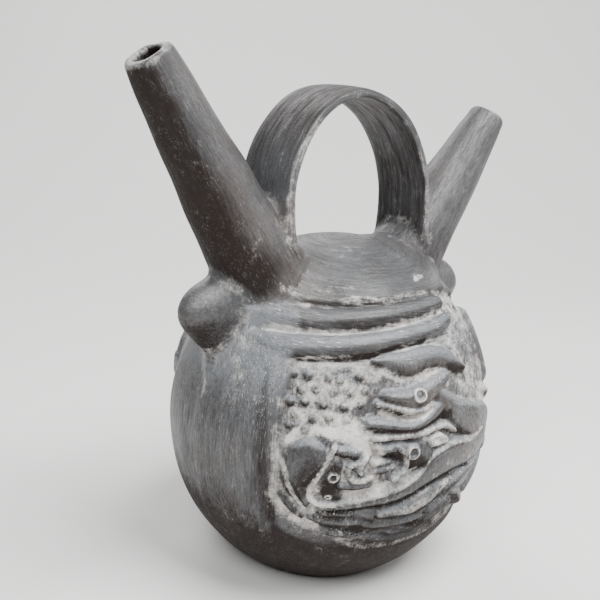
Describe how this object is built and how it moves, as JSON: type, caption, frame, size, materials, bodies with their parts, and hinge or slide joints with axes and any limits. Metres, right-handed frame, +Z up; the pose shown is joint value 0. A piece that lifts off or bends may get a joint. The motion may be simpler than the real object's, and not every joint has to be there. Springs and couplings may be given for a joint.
{
  "type": "double-spout bottle",
  "caption": "Hollow round-bodied fired clay bottle with slanted spouts, a flat strap handle between them, side lugs and a modelled relief panel on front and back.",
  "frame": {"origin": "middle of the flat foot, on the surface the bottle stands on", "axes": "+Z up; X runs from spout to spout, with the longer spout at -X; the front relief panel faces -Y"},
  "size_m": [0.2201, 0.1489, 0.2252],
  "materials": {
    "clay": "burnished grey-black, pale dust in the recesses"
  },
  "bodies": {
    "root": {"bottle": "clay"}
  },
  "joints": []
}
